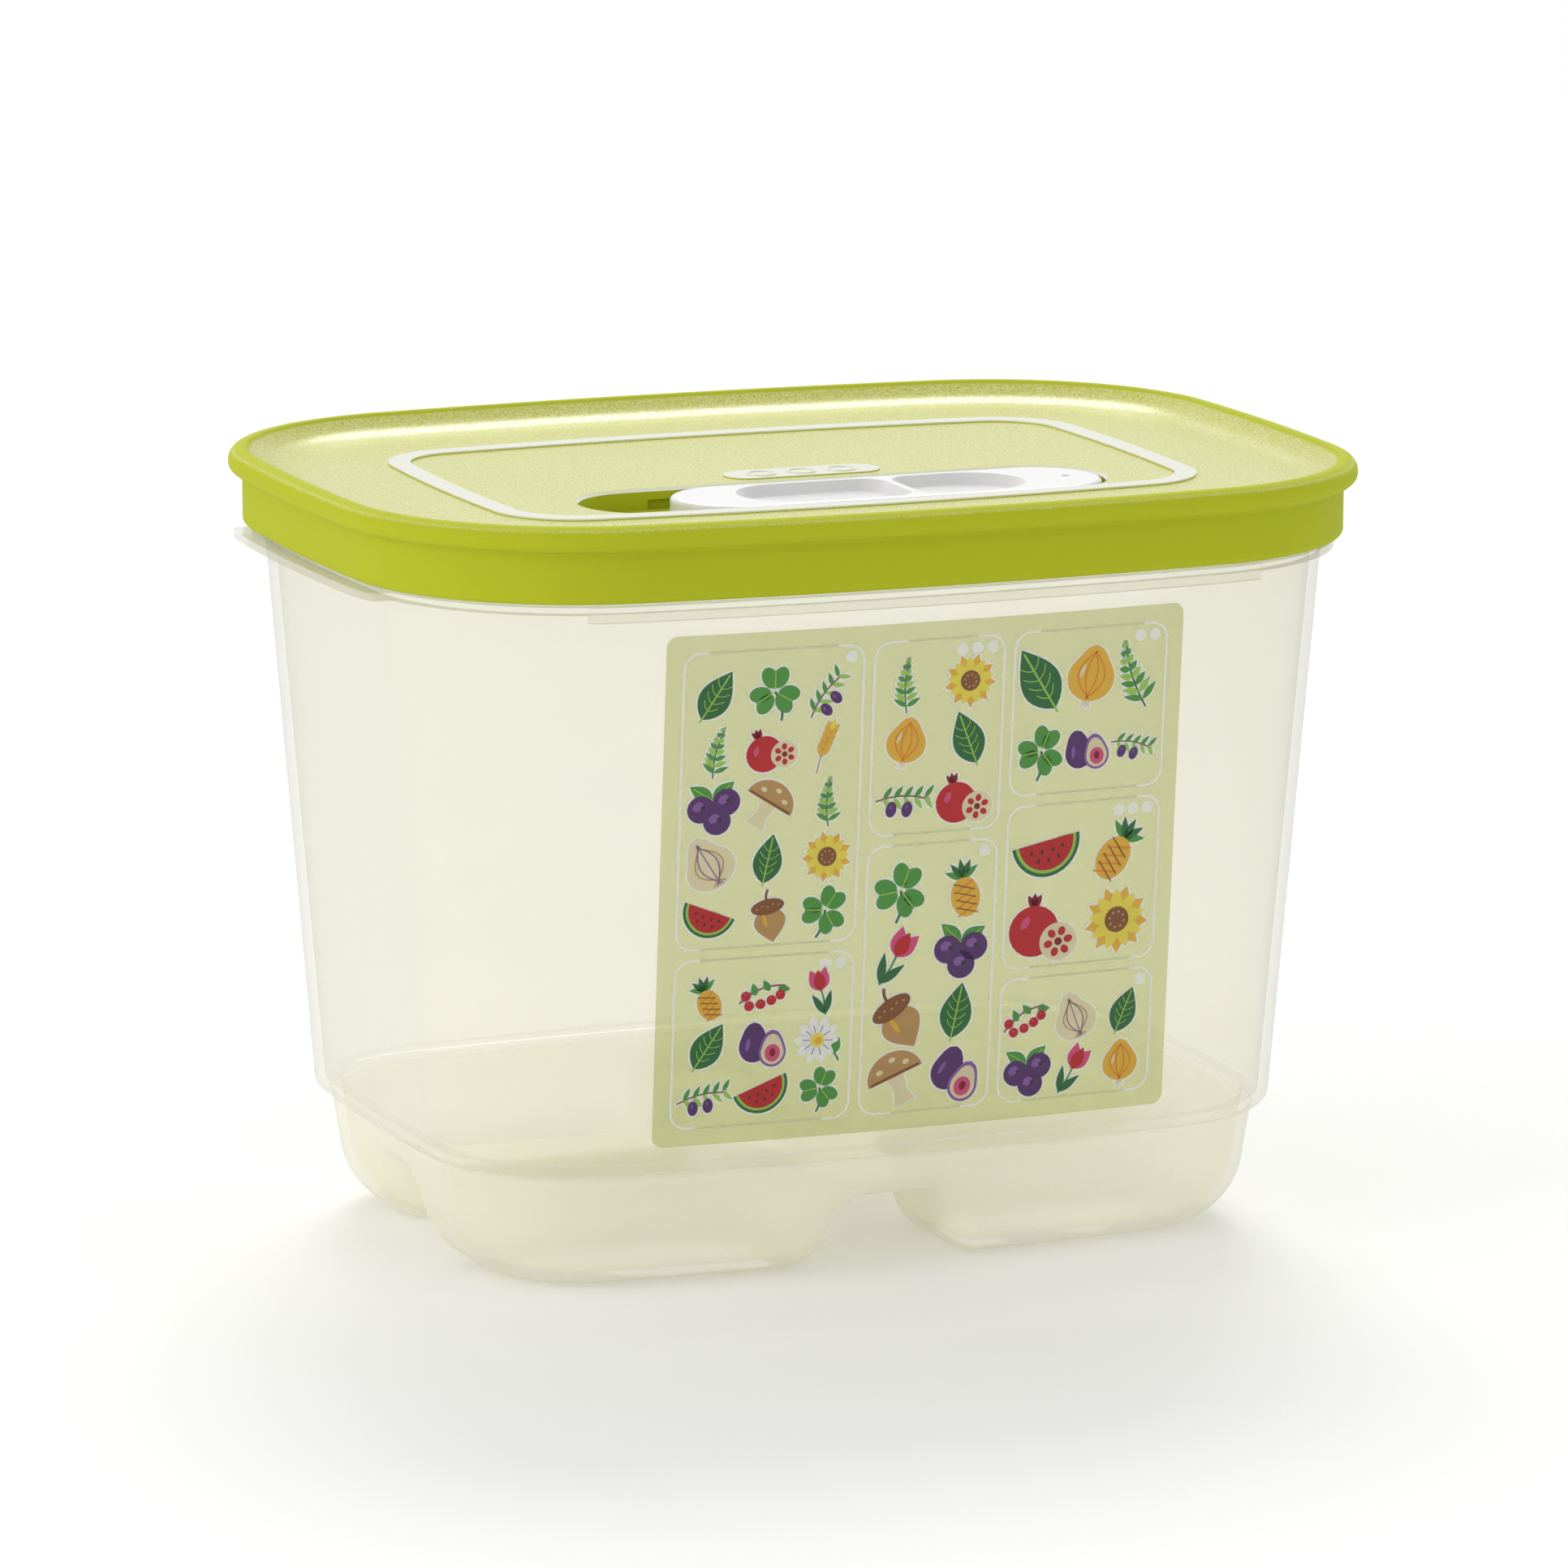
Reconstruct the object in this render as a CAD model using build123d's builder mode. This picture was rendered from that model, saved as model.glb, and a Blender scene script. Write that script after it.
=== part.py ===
"""Produce keeper: a clear tub on four feet, with a vented lid.

Millimetres, +Z up. The origin is the middle of the box that the keeper fills, on the
surface that its feet stand on. +X runs along the long side, and the printed wall
faces -Y.
"""

import os
from math import atan2, cos, degrees, hypot, radians, sqrt, tan

from build123d import *

os.makedirs("parts", exist_ok=True)

# Plan of the lid's lip, a rectangle with bowed sides and round corners
length = 195.0
width = 147.0
long_bow_radius = 610.0
short_bow_radius = 500.0
corner_radius = 45.0

# Heights above the surface that the feet stand on
step_height = 22.7
tub_height = 137.2

# How far the lid's lip and dish lie above the tub's rim, and its skirt reaches below it
lip_rise = 4.8
dish_rise = 1.3
skirt_cover = 9.2

# Tub wall and its bowl-shaped base
wall = 1.8
wall_draft = 4.7
step_width = 2.4
step_radius = 2.2
bowl_draft = 10.0
bowl_radius = 14.0

# The two channels that cross under the base and part its four feet
channel_height = 14.0
channel_roof_width = 17.0
channel_draft = 20.0
channel_roof_radius = 4.0
foot_corner_radius = 12.0
foot_edge_radius = 8.0

# Rim, flange, strips and lift lip of the tub
bead_height = 3.2
bead_radius = 0.8
bead_reach = 1.15
flange_gap = 0.6
flange_thickness = 1.4
flange_inset = 4.2
strip_end_gap = 33.5
strip_depth = 2.8
strip_thickness = 1.2
strip_step = 0.5
lip_inset = 0.8
lip_end_gap = 35.5
lip_reach = 16.5
lip_corner = 1.5
brim_overcut = 1.0

# Lid
lip_top_radius = 2.4
lip_under_radius = 1.8
crest_inset = 3.2
crest_radius = 0.9
dish_draft = 45.0
dish_radius = 10.0
plate = 1.6
skirt_inset = 2.55
skirt_wall = 1.6
skirt_foot_radius = 1.2
skirt_root_radius = 0.7
plug_gap = 0.6
plug_wall = 1.5
plug_depth = 5.9

# Polished ring and mark field on the lid
ring_inset = 29.2
ring_width = 4.0
ring_height = 0.4
field_length = 30.0
field_width = 9.0
field_height = 0.25
field_y = -4.8
mark_radius = 2.8
mark_line = 0.5
mark_pitch = 7.8

# Recess in the lid with its vents
recess_length = 100.4
recess_width = 26.0
recess_depth = 3.8
recess_y = -25.3
recess_edge = 0.5
tray_floor = 1.4
tray_wall = 2.4
vent_width = 3.2
vent_length = 8.0
vent_pitch = 6.2
vent_end_gap = 3.4

# Vent slider
slider_end_gap = 0.7
slider_side_gap = 1.0
slider_length = 82.2
slider_edge_radius = 0.8
well_length = 54.8
well_offset = -1.2
well_width = 20.0
well_depth = 2.2
well_draft = 35.0
well_radius = 1.2
ridge_offset = 2.8
ridge_width = 1.4
ridge_corner = 4.5
lug_length = 12.0
lug_height = 1.0
lug_reach = 0.6
lug_spacing = 36.0
dimple_radius = 0.8
dimple_depth = 0.4
dimple_offset = 35.0

# Seal pad under the slider
seal_length = 11.4
seal_width = 14.0
seal_thickness = 1.2
seal_corner = 3.0
seal_proud = 0.2
seal_gap = 0.1

# Printed film on the front wall
guide_side_gap = 48.2
guide_top_gap = 4.8
guide_bottom_gap = 5.5
guide_film = 0.25
guide_corner = 2.0

# Clearances between pieces that move apart
lid_side_gap = 0.4
lid_top_gap = 0.3
slide_gap = 0.4


class BowedRectangle(BaseSketchObject):
    """The lid's plan outline, drawn in by an inset all round."""

    def __init__(self, inset: float, mode: Mode = Mode.ADD):
        long_centre = width / 2 - long_bow_radius
        short_centre = length / 2 - short_bow_radius
        span = hypot(long_centre, short_centre)
        long_side = long_bow_radius - corner_radius
        short_side = short_bow_radius - corner_radius
        reach = (long_side**2 - short_side**2 + span**2) / (2 * span)
        rise = sqrt(long_side**2 - reach**2)
        corner_x = (reach * short_centre - rise * long_centre) / span
        corner_y = long_centre + (-reach * long_centre - rise * short_centre) / span
        if corner_x < 0:
            corner_x = (reach * short_centre + rise * long_centre) / span
            corner_y = long_centre + (rise * short_centre - reach * long_centre) / span
        long_half = degrees(atan2(corner_x, corner_y - long_centre))
        short_half = degrees(atan2(corner_y, corner_x - short_centre))
        turn = 90 - long_half - short_half
        long_arc = long_bow_radius - inset
        short_arc = short_bow_radius - inset
        corner_arc = corner_radius - inset
        with BuildSketch() as outline:
            with BuildLine():
                CenterArc((short_centre, 0), short_arc, -short_half, 2 * short_half)
                CenterArc((corner_x, corner_y), corner_arc, short_half, turn)
                CenterArc((0, long_centre), long_arc, 90 - long_half, 2 * long_half)
                CenterArc((-corner_x, corner_y), corner_arc, 90 + long_half, turn)
                CenterArc((-short_centre, 0), short_arc, 180 - short_half, 2 * short_half)
                CenterArc((-corner_x, -corner_y), corner_arc, 180 + short_half, turn)
                CenterArc((0, -long_centre), long_arc, 270 - long_half, 2 * long_half)
                CenterArc((corner_x, -corner_y), corner_arc, 270 + long_half, turn)
            make_face()
        super().__init__(outline.face(), mode=mode)


def wall_inset(height: float) -> float:
    """How far the tub wall's outer face is drawn in at a height."""
    return rim_inset + (tub_height - height) * tan(radians(wall_draft))


def tub_form(inside: float, over: float) -> Part:
    """The tub's outer form, or its cavity when it is drawn in by the wall."""
    lean = tan(radians(channel_draft))
    roof = channel_height + inside
    foot_half = channel_roof_width / 2 + channel_height * lean + inside / cos(radians(channel_draft))
    bowl_inset = wall_inset(step_height) + step_width + inside
    with BuildPart() as channels:
        with BuildSketch(Plane.XY.offset(inside)) as cross:
            Rectangle(2 * (foot_half - inside * lean), width)
            Rectangle(length, 2 * (foot_half - inside * lean))
            inner_corners = cross.vertices().sort_by(lambda corner: hypot(corner.X, corner.Y))[:4]
            fillet(inner_corners, foot_corner_radius - inside)
        extrude(amount=roof - inside, taper=channel_draft)
        fillet(channels.faces().sort_by(Axis.Z)[-1].edges(), channel_roof_radius + inside)
    with BuildPart() as form:
        with BuildSketch(Plane.XY.offset(step_height + inside)):
            BowedRectangle(wall_inset(step_height) + inside)
        with BuildSketch(Plane.XY.offset(tub_height + over)):
            BowedRectangle(wall_inset(tub_height + over) + inside)
        loft(ruled=True)
        fillet(form.faces().sort_by(Axis.Z)[0].edges(), step_radius - inside)
        with BuildSketch(Plane.XY.offset(step_height + step_width + inside)):
            BowedRectangle(bowl_inset)
        with BuildSketch(Plane.XY.offset(inside)):
            BowedRectangle(bowl_inset + step_height * tan(radians(bowl_draft)))
        loft(ruled=True)
        fillet(form.faces().sort_by(Axis.Z)[0].edges(), bowl_radius - inside)
        add(channels.part, mode=Mode.SUBTRACT)
        foot_edges = form.edges().group_by(Axis.Z)[0].filter_by(GeomType.LINE)
        fillet(foot_edges, foot_edge_radius - inside)
    return form.part


# Places that follow from the sizes above
lid_height = tub_height + lip_rise
dish_floor = tub_height + dish_rise
skirt_bottom = tub_height - skirt_cover
skirt_inner_inset = skirt_inset + skirt_wall
bead_inset = skirt_inner_inset + lid_side_gap
rim_inset = bead_inset + bead_reach
flange_top = skirt_bottom - flange_gap
flange_bottom = flange_top - flange_thickness
roof_height = tub_height + lid_top_gap
plate_under = dish_floor - plate
plug_bottom = plate_under - plug_depth
plug_inset = wall_inset(plug_bottom) + wall + plug_gap
recess_floor = dish_floor - recess_depth
tray_bottom = recess_floor - tray_floor
groove_width = recess_width + 2 * (lug_reach + slide_gap)
slider_travel = recess_length - slider_length - 2 * slider_end_gap
slider_x = (recess_length - slider_length) / 2 - slider_end_gap
slider_width = recess_width - 2 * slider_side_gap
slider_top = dish_floor
ridge_x = slider_x + ridge_offset
slider_bottom = recess_floor + slide_gap
groove_length = lug_spacing + lug_length + slider_travel + 2 * slide_gap
groove_x = slider_x - slider_travel / 2
vent_x = recess_length / 2 - vent_end_gap - vent_width / 2
seal_x = vent_x - vent_pitch / 2
seal_bottom = recess_floor + seal_proud
guide_width = length - 2 * guide_side_gap
guide_bottom = step_height + guide_bottom_gap
guide_height = flange_bottom - guide_top_gap - guide_bottom
print("vent slider travel", round(slider_travel, 2), "mm to -X")

outside = tub_form(0, 0)
cavity = tub_form(wall, brim_overcut)

with BuildPart() as tub:
    add(outside)
    # Rim bead that stands inside the lid's skirt
    with BuildSketch(Plane.XY.offset(tub_height - bead_height)):
        BowedRectangle(bead_inset)
    extrude(amount=bead_height)
    # Flange just under the skirt, with a deeper strip along each long side
    with BuildSketch(Plane.XY.offset(flange_bottom)):
        BowedRectangle(flange_inset)
    extrude(amount=flange_thickness)
    with BuildSketch(Plane.XY.offset(flange_top - strip_depth)):
        BowedRectangle(flange_inset - strip_step)
        BowedRectangle(flange_inset - strip_step + strip_thickness, mode=Mode.SUBTRACT)
        Rectangle(length - 2 * strip_end_gap, width, mode=Mode.INTERSECT)
    extrude(amount=strip_depth)
    # Lift lip, where the flange stands out at the left end
    with BuildSketch(Plane.XY.offset(flange_bottom)) as lip:
        BowedRectangle(lip_inset)
        with Locations((-length / 2, 0)):
            Rectangle(2 * lip_reach, width - 2 * lip_end_gap, mode=Mode.INTERSECT)
        fillet(lip.vertices(), lip_corner)
    extrude(amount=flange_thickness)
    fillet(tub.faces().sort_by(Axis.Z)[-1].outer_wire().edges(), bead_radius)
    add(cavity, mode=Mode.SUBTRACT)
tub.part.label = "tub"
export_step(tub.part, "parts/tub.step")

with BuildPart() as film_block:
    with BuildSketch(Plane.XY.offset(step_height)):
        BowedRectangle(wall_inset(step_height) - guide_film)
    with BuildSketch(Plane.XY.offset(tub_height)):
        BowedRectangle(wall_inset(tub_height) - guide_film)
    loft(ruled=True)

with BuildPart() as storage_guide:
    with BuildSketch(Plane.XZ):
        with Locations((0, guide_bottom + guide_height / 2)):
            RectangleRounded(guide_width, guide_height, guide_corner)
    extrude(amount=width / 2)
    add(film_block.part, mode=Mode.INTERSECT)
    add(outside, mode=Mode.SUBTRACT)
storage_guide.part.label = "storage_guide"
export_step(storage_guide.part, "parts/storage_guide.step")

with BuildPart() as lid:
    # Rolled lip and the dish inside it
    with BuildSketch(Plane.XY.offset(roof_height)):
        BowedRectangle(0)
    extrude(amount=lid_height - roof_height)
    fillet(lid.edges().group_by(Axis.Z)[-1], lip_top_radius)
    fillet(lid.edges().group_by(Axis.Z)[0], lip_under_radius)
    with BuildSketch(Plane.XY.offset(lid_height)):
        BowedRectangle(crest_inset)
    extrude(amount=dish_floor - lid_height, taper=dish_draft, mode=Mode.SUBTRACT)
    dish = lid.faces().filter_by(Plane.XY).group_by(Axis.Z)[-2]
    fillet(dish.edges(), dish_radius)
    fillet(lid.faces().sort_by(Axis.Z)[-1].inner_wires()[0].edges(), crest_radius)
    # Skirt
    with BuildSketch(Plane.XY.offset(skirt_bottom)):
        BowedRectangle(skirt_inset)
        BowedRectangle(skirt_inner_inset, mode=Mode.SUBTRACT)
    extrude(amount=roof_height - skirt_bottom)
    fillet(lid.faces().sort_by(Axis.Z)[0].outer_wire().edges(), skirt_foot_radius)
    lip_under = lid.faces().filter_by(Plane.XY).group_by(Axis.Z)[1].sort_by(SortBy.AREA)[0]
    fillet(lip_under.inner_wires()[0].edges(), skirt_root_radius)
    # Plate under the dish and the plug wall that stands inside the tub
    with BuildSketch(Plane.XY.offset(plug_bottom)):
        BowedRectangle(plug_inset)
    extrude(amount=roof_height - plug_bottom)
    with BuildSketch(Plane.XY.offset(plug_bottom)):
        BowedRectangle(plug_inset + plug_wall)
    extrude(amount=plug_depth, mode=Mode.SUBTRACT)
    # Tray and recess that the slider runs in
    with BuildSketch(Plane.XY.offset(tray_bottom)):
        with Locations((0, recess_y)):
            SlotOverall(recess_length + 2 * tray_wall, recess_width + 2 * tray_wall)
    extrude(amount=plate_under - tray_bottom)
    with BuildSketch(Plane.XY.offset(recess_floor)):
        with Locations((0, recess_y)):
            SlotOverall(recess_length, recess_width)
    extrude(amount=recess_depth, mode=Mode.SUBTRACT)
    flats = lid.faces().filter_by(Plane.XY)
    top_face = flats.filter_by_position(Axis.Z, dish_floor - recess_edge, dish_floor + recess_edge)[0]
    chamfer(top_face.inner_wires()[0].edges(), recess_edge)
    with BuildSketch(Plane.XY.offset(recess_floor)):
        with Locations((groove_x, recess_y)):
            Rectangle(groove_length, groove_width)
    extrude(amount=lug_height + 2 * slide_gap, mode=Mode.SUBTRACT)
    # Two vents, covered by the slider at rest
    with BuildSketch(Plane.XY.offset(tray_bottom)):
        for number in range(2):
            with Locations((vent_x - number * vent_pitch, recess_y)):
                SlotOverall(vent_length, vent_width, rotation=90)
    extrude(amount=tray_floor, mode=Mode.SUBTRACT)
    # Polished ring, mark field and its three round marks
    with BuildSketch(Plane.XY.offset(dish_floor)):
        BowedRectangle(ring_inset)
        BowedRectangle(ring_inset + ring_width, mode=Mode.SUBTRACT)
    extrude(amount=ring_height)
    with BuildSketch(Plane.XY.offset(dish_floor)):
        with Locations((0, field_y)):
            SlotOverall(field_length, field_width)
    extrude(amount=field_height)
    with BuildSketch(Plane.XY.offset(dish_floor + field_height)):
        with Locations((0, field_y)):
            with GridLocations(mark_pitch, 0, 3, 1):
                Circle(mark_radius)
                Circle(mark_radius - mark_line, mode=Mode.SUBTRACT)
    extrude(amount=ring_height - field_height)
lid.part.label = "lid"
export_step(lid.part, "parts/lid.step")

with BuildPart() as vent_slider:
    with BuildSketch(Plane.XY.offset(slider_bottom)):
        with Locations((slider_x, recess_y)):
            SlotOverall(slider_length, slider_width)
    extrude(amount=slider_top - slider_bottom)
    fillet(vent_slider.edges().group_by(Axis.Z)[-1], slider_edge_radius)
    # Two finger wells with a narrow ridge left between them
    with BuildSketch(Plane.XY.offset(slider_top)) as wells:
        with Locations((slider_x + well_offset, recess_y)):
            SlotOverall(well_length, well_width)
        with Locations((ridge_x, recess_y)):
            Rectangle(ridge_width, well_width, mode=Mode.SUBTRACT)
        ridge_ends = wells.vertices().filter_by_position(Axis.X, ridge_x - ridge_width, ridge_x + ridge_width)
        fillet(ridge_ends, ridge_corner)
    extrude(amount=-well_depth, taper=well_draft, mode=Mode.SUBTRACT)
    well_floors = vent_slider.faces().filter_by(Plane.XY).group_by(Axis.Z)[-2]
    fillet(well_floors.edges(), well_radius)
    with BuildSketch(Plane.XY.offset(slider_top)):
        with Locations((slider_x + dimple_offset, recess_y)):
            Circle(dimple_radius)
    extrude(amount=-dimple_depth, mode=Mode.SUBTRACT)
    # Lugs that run in the grooves of the recess
    with BuildSketch(Plane.XY.offset(slider_bottom)):
        with Locations((slider_x, recess_y)):
            with GridLocations(lug_spacing, 0, 2, 1):
                Rectangle(lug_length, recess_width + 2 * lug_reach)
    extrude(amount=lug_height)
    # Pocket for the seal pad
    with BuildSketch(Plane.XY.offset(slider_bottom)):
        with Locations((seal_x, recess_y)):
            RectangleRounded(seal_length + 2 * seal_gap, seal_width + 2 * seal_gap, seal_corner)
    extrude(amount=seal_thickness - (slider_bottom - seal_bottom), mode=Mode.SUBTRACT)
vent_slider.part.label = "vent_slider"
export_step(vent_slider.part, "parts/vent_slider.step")

with BuildPart() as slider_seal:
    with BuildSketch(Plane.XY.offset(seal_bottom)):
        with Locations((seal_x, recess_y)):
            RectangleRounded(seal_length, seal_width, seal_corner)
    extrude(amount=seal_thickness)
slider_seal.part.label = "slider_seal"
export_step(slider_seal.part, "parts/slider_seal.step")
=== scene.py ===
"""Finish of a produce keeper: clear tub, printed storage guide, lime lid and vent slider."""

import math

import bpy
from mathutils import Matrix, Vector
from mathutils.bvhtree import BVHTree
from mathutils.geometry import tessellate_polygon


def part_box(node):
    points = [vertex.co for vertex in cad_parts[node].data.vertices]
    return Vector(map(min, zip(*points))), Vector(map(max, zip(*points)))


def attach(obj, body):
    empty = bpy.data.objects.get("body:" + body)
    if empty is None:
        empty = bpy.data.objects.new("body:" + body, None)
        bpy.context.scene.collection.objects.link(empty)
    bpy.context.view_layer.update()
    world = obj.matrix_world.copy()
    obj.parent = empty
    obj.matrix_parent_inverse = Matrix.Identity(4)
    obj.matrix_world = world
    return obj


bl_info = {
    "name": "Produce keeper",
    "version": (1, 0, 0),
    "blender": (4, 5, 0),
    "location": "View3D > Sidebar > Keeper",
    "description": "Finishes a vented produce keeper and sets up its studio",
    "category": "Object",
}

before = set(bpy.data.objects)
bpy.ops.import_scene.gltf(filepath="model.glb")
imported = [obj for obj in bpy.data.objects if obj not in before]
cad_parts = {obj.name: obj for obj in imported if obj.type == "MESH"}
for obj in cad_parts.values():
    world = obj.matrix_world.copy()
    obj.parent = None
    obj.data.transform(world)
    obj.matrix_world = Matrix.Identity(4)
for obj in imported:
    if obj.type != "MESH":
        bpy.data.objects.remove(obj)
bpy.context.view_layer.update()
TUB_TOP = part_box("tub")[1].z
LID_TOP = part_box("lid")[1].z
GUIDE_LOW, GUIDE_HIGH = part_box("storage_guide")
MM = 0.001
UP = Vector((0, 0, 1))


def colour_property(name, description, default):
    """A colour that a user can change, as linear red, green and blue."""
    return bpy.props.FloatVectorProperty(
        name=name, description=description, default=default, subtype="COLOR", size=3, min=0, max=1
    )


def length_property(name, description, default):
    """A length that a user can change, in metres."""
    return bpy.props.FloatProperty(
        name=name,
        description=description,
        default=default,
        subtype="DISTANCE",
        unit="LENGTH",
        precision=5,
    )


def angle_property(name, description, default):
    """An angle that a user can change, given here in degrees."""
    return bpy.props.FloatProperty(
        name=name, description=description, default=math.radians(default), subtype="ANGLE", unit="ROTATION"
    )


class KeeperColours(bpy.types.PropertyGroup):
    """Colours of the keeper's plastics, of the pale ink, and of the pale painted highlight on the lid's
    polished marks.
    """

    clear: colour_property("Clear tub", "Milky tint of the clear walls", (0.95, 0.94, 0.87))
    frost: colour_property("Frosted bowl", "Tint of the frosted base", (0.965, 0.955, 0.885))
    film: colour_property("Guide film", "Tint of the printed film", (0.64, 0.67, 0.38))
    lid: colour_property("Lid", "Lime of the lid", (0.50, 0.55, 0.004))
    # Painted highlight: a pale tone painted on the lid's polished ring, marks and recess chamfer, standing for
    # the reflection they catch
    painted_polish_highlight: colour_property("Polished marks", "Pale tone that the polished marks catch", (0.92, 0.92, 0.80))
    slider: colour_property("Vent slider", "White of the slider", (0.68, 0.68, 0.68))
    seal: colour_property("Slider seal", "Pale grey of the soft seal", (0.60, 0.61, 0.59))
    outline: colour_property("Guide outline", "Pale ink round cells and motifs", (0.93, 0.94, 0.88))


class KeeperSizes(bpy.types.PropertyGroup):
    """Sizes of the finish and of the printed guide."""

    step_height: length_property("Step height", "Where the frosted bowl begins", 22.7 * MM)
    dish_floor: length_property("Dish floor", "Height of the lid's grained floor", 138.5 * MM)
    polish_x: length_property("Polish reach X", "Half length that the polished marks keep inside", 72 * MM)
    polish_y: length_property("Polish reach Y", "Half width that the polished marks keep inside", 48 * MM)
    guide_margin: length_property("Guide margin", "From the film's edge to its cells", 2.2 * MM)
    cell_gap: length_property("Cell gap", "Between two cells of the guide", 1.6 * MM)
    cell_radius: length_property("Cell radius", "Corner radius of a cell's outline", 3.2 * MM)
    line_width: length_property("Line width", "Width of a cell's outline", 0.42 * MM)
    halo: length_property("Halo", "Pale edge left round each motif", 0.32 * MM)
    ink: length_property("Ink layer", "Thickness of one layer of ink", 0.035 * MM)


class KeeperView(bpy.types.PropertyGroup):
    """The camera's place and lens."""

    azimuth: angle_property("Azimuth", "Turn of the view", -22.01)
    elevation: angle_property("Elevation", "Tilt of the view", 11.07)
    roll: angle_property("Roll", "Roll of the view", 0.15)
    distance: length_property("Distance", "From the camera to the keeper's middle", 1.697)
    target: length_property("Target height", "Height that the camera looks at", 0.07995)
    lens: bpy.props.FloatProperty(
        name="Lens", description="Focal length in millimetres", default=212.64, unit="CAMERA"
    )
    shift_x: bpy.props.FloatProperty(
        name="Shift X", description="Lens shift to the side, in sensor widths", default=-0.0042, precision=4
    )


def place(tree, kind, values=None, **settings):
    """Adds a node, sets its settings, and fills its sockets with values or links."""
    made = tree.nodes.new(kind)
    for key, value in settings.items():
        setattr(made, key, value)
    for key, value in (values or {}).items():
        if isinstance(value, bpy.types.NodeSocket):
            tree.links.new(value, made.inputs[key])
        else:
            made.inputs[key].default_value = value
    return made


def maths(tree, operation, first, second=0.0, clamp=False):
    """The result of one sum on two values or sockets."""
    values = {0: first, 1: second}
    return place(tree, "ShaderNodeMath", values, operation=operation, use_clamp=clamp).outputs[0]


def product(tree, first, *others):
    """All the factors multiplied."""
    for other in others:
        first = maths(tree, "MULTIPLY", first, other)
    return first


def left_over(tree, share):
    """What a share leaves of one."""
    return maths(tree, "SUBTRACT", 1.0, share)


def between(tree, factor, low, high):
    """A number that runs from low to high with a factor."""
    values = {"Value": factor, "To Min": low, "To Max": high}
    return place(tree, "ShaderNodeMapRange", values).outputs[0]


def ramp(tree, value, start, end):
    """Zero before start, one after end."""
    values = {"Value": value, "From Min": start, "From Max": end}
    return place(tree, "ShaderNodeMapRange", values).outputs[0]


def tint(tree, factor, first, second):
    """A colour mixed from two."""
    blended = place(tree, "ShaderNodeMix", {"Factor": factor}, data_type="RGBA")
    for socket, value in ((blended.inputs[6], first), (blended.inputs[7], second)):
        if isinstance(value, bpy.types.NodeSocket):
            tree.links.new(value, socket)
        else:
            socket.default_value = (*value, 1.0)
    return blended.outputs[2]


def empty_material(name):
    """A material with an empty node tree and its output node."""
    material = bpy.data.materials.new(name)
    material.use_nodes = True
    tree = material.node_tree
    tree.nodes.clear()
    return material, tree, tree.nodes.new("ShaderNodeOutputMaterial")


def object_place(tree):
    """The surface point in the keeper's frame, and its three parts."""
    point = place(tree, "ShaderNodeTexCoord").outputs["Object"]
    parts = place(tree, "ShaderNodeSeparateXYZ", {"Vector": point}).outputs
    return point, parts["X"], parts["Y"], parts["Z"]


def noise(tree, point, scale, detail=2.0, roughness=0.5):
    """Soft noise between zero and one."""
    values = {"Vector": point, "Scale": scale, "Detail": detail, "Roughness": roughness}
    return place(tree, "ShaderNodeTexNoise", values).outputs["Fac"]


def bump(tree, height, strength, distance):
    """A normal raised by a height."""
    values = {"Height": height, "Strength": strength, "Distance": distance}
    return place(tree, "ShaderNodeBump", values).outputs["Normal"]


def mixed(tree, factor, first, second):
    """One shader laid over another by a factor."""
    made = place(tree, "ShaderNodeMixShader", {"Fac": factor})
    tree.links.new(first.outputs[0], made.inputs[1])
    tree.links.new(second.outputs[0], made.inputs[2])
    return made


def clear_plastic(name, sizes, clear, frosted, haze_clear, haze_frosted, stain):
    """Milky clear plastic that turns to frost below the step."""
    step_blur = 1.2 * MM
    cloud_scale, cloud_detail, cloud_depth = 22.0, 3.0, 0.06
    grain_scale, grain_strength, grain_height = 1600.0, 0.35, 0.10 * MM
    edge_haze, edge_haze_power = 0.2, 3.0
    face_gloss, edge_gloss_power = 0.035, 5.0
    gloss_clear, gloss_frosted = 0.8, 0.4
    rough_clear, rough_frosted = 0.08, 0.45

    material, tree, output = empty_material(name)
    point, _, _, height = object_place(tree)
    frost = left_over(tree, ramp(tree, height, sizes.step_height - step_blur, sizes.step_height))
    cloud = noise(tree, point, cloud_scale, cloud_detail)
    grain = noise(tree, point, grain_scale)
    facing = place(tree, "ShaderNodeLayerWeight", {"Blend": 0.5}).outputs["Facing"]

    haze = between(tree, frost, haze_clear, haze_frosted)
    at_edge = product(tree, maths(tree, "POWER", facing, edge_haze_power), edge_haze)
    clouded = product(tree, maths(tree, "SUBTRACT", cloud, 0.5), cloud_depth)
    haze = maths(tree, "ADD", maths(tree, "ADD", haze, at_edge), clouded, clamp=True)
    colour = tint(tree, frost, clear, frosted)
    relief = bump(tree, product(tree, grain, frost), grain_strength, grain_height)
    front = place(tree, "ShaderNodeBsdfDiffuse", {"Color": colour, "Normal": relief})
    glow = place(tree, "ShaderNodeBsdfTranslucent", {"Color": colour})
    through = place(tree, "ShaderNodeBsdfTransparent", {"Color": (*stain, 1.0)})
    body = mixed(tree, haze, through, mixed(tree, 0.5, front, glow))

    values = {"Roughness": between(tree, frost, rough_clear, rough_frosted), "Normal": relief}
    shine = place(tree, "ShaderNodeBsdfGlossy", values)
    gloss = maths(tree, "ADD", maths(tree, "POWER", facing, edge_gloss_power), face_gloss, clamp=True)
    gloss = product(tree, gloss, between(tree, frost, gloss_clear, gloss_frosted))
    tree.links.new(mixed(tree, gloss, body, shine).outputs[0], output.inputs["Surface"])
    return material


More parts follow.
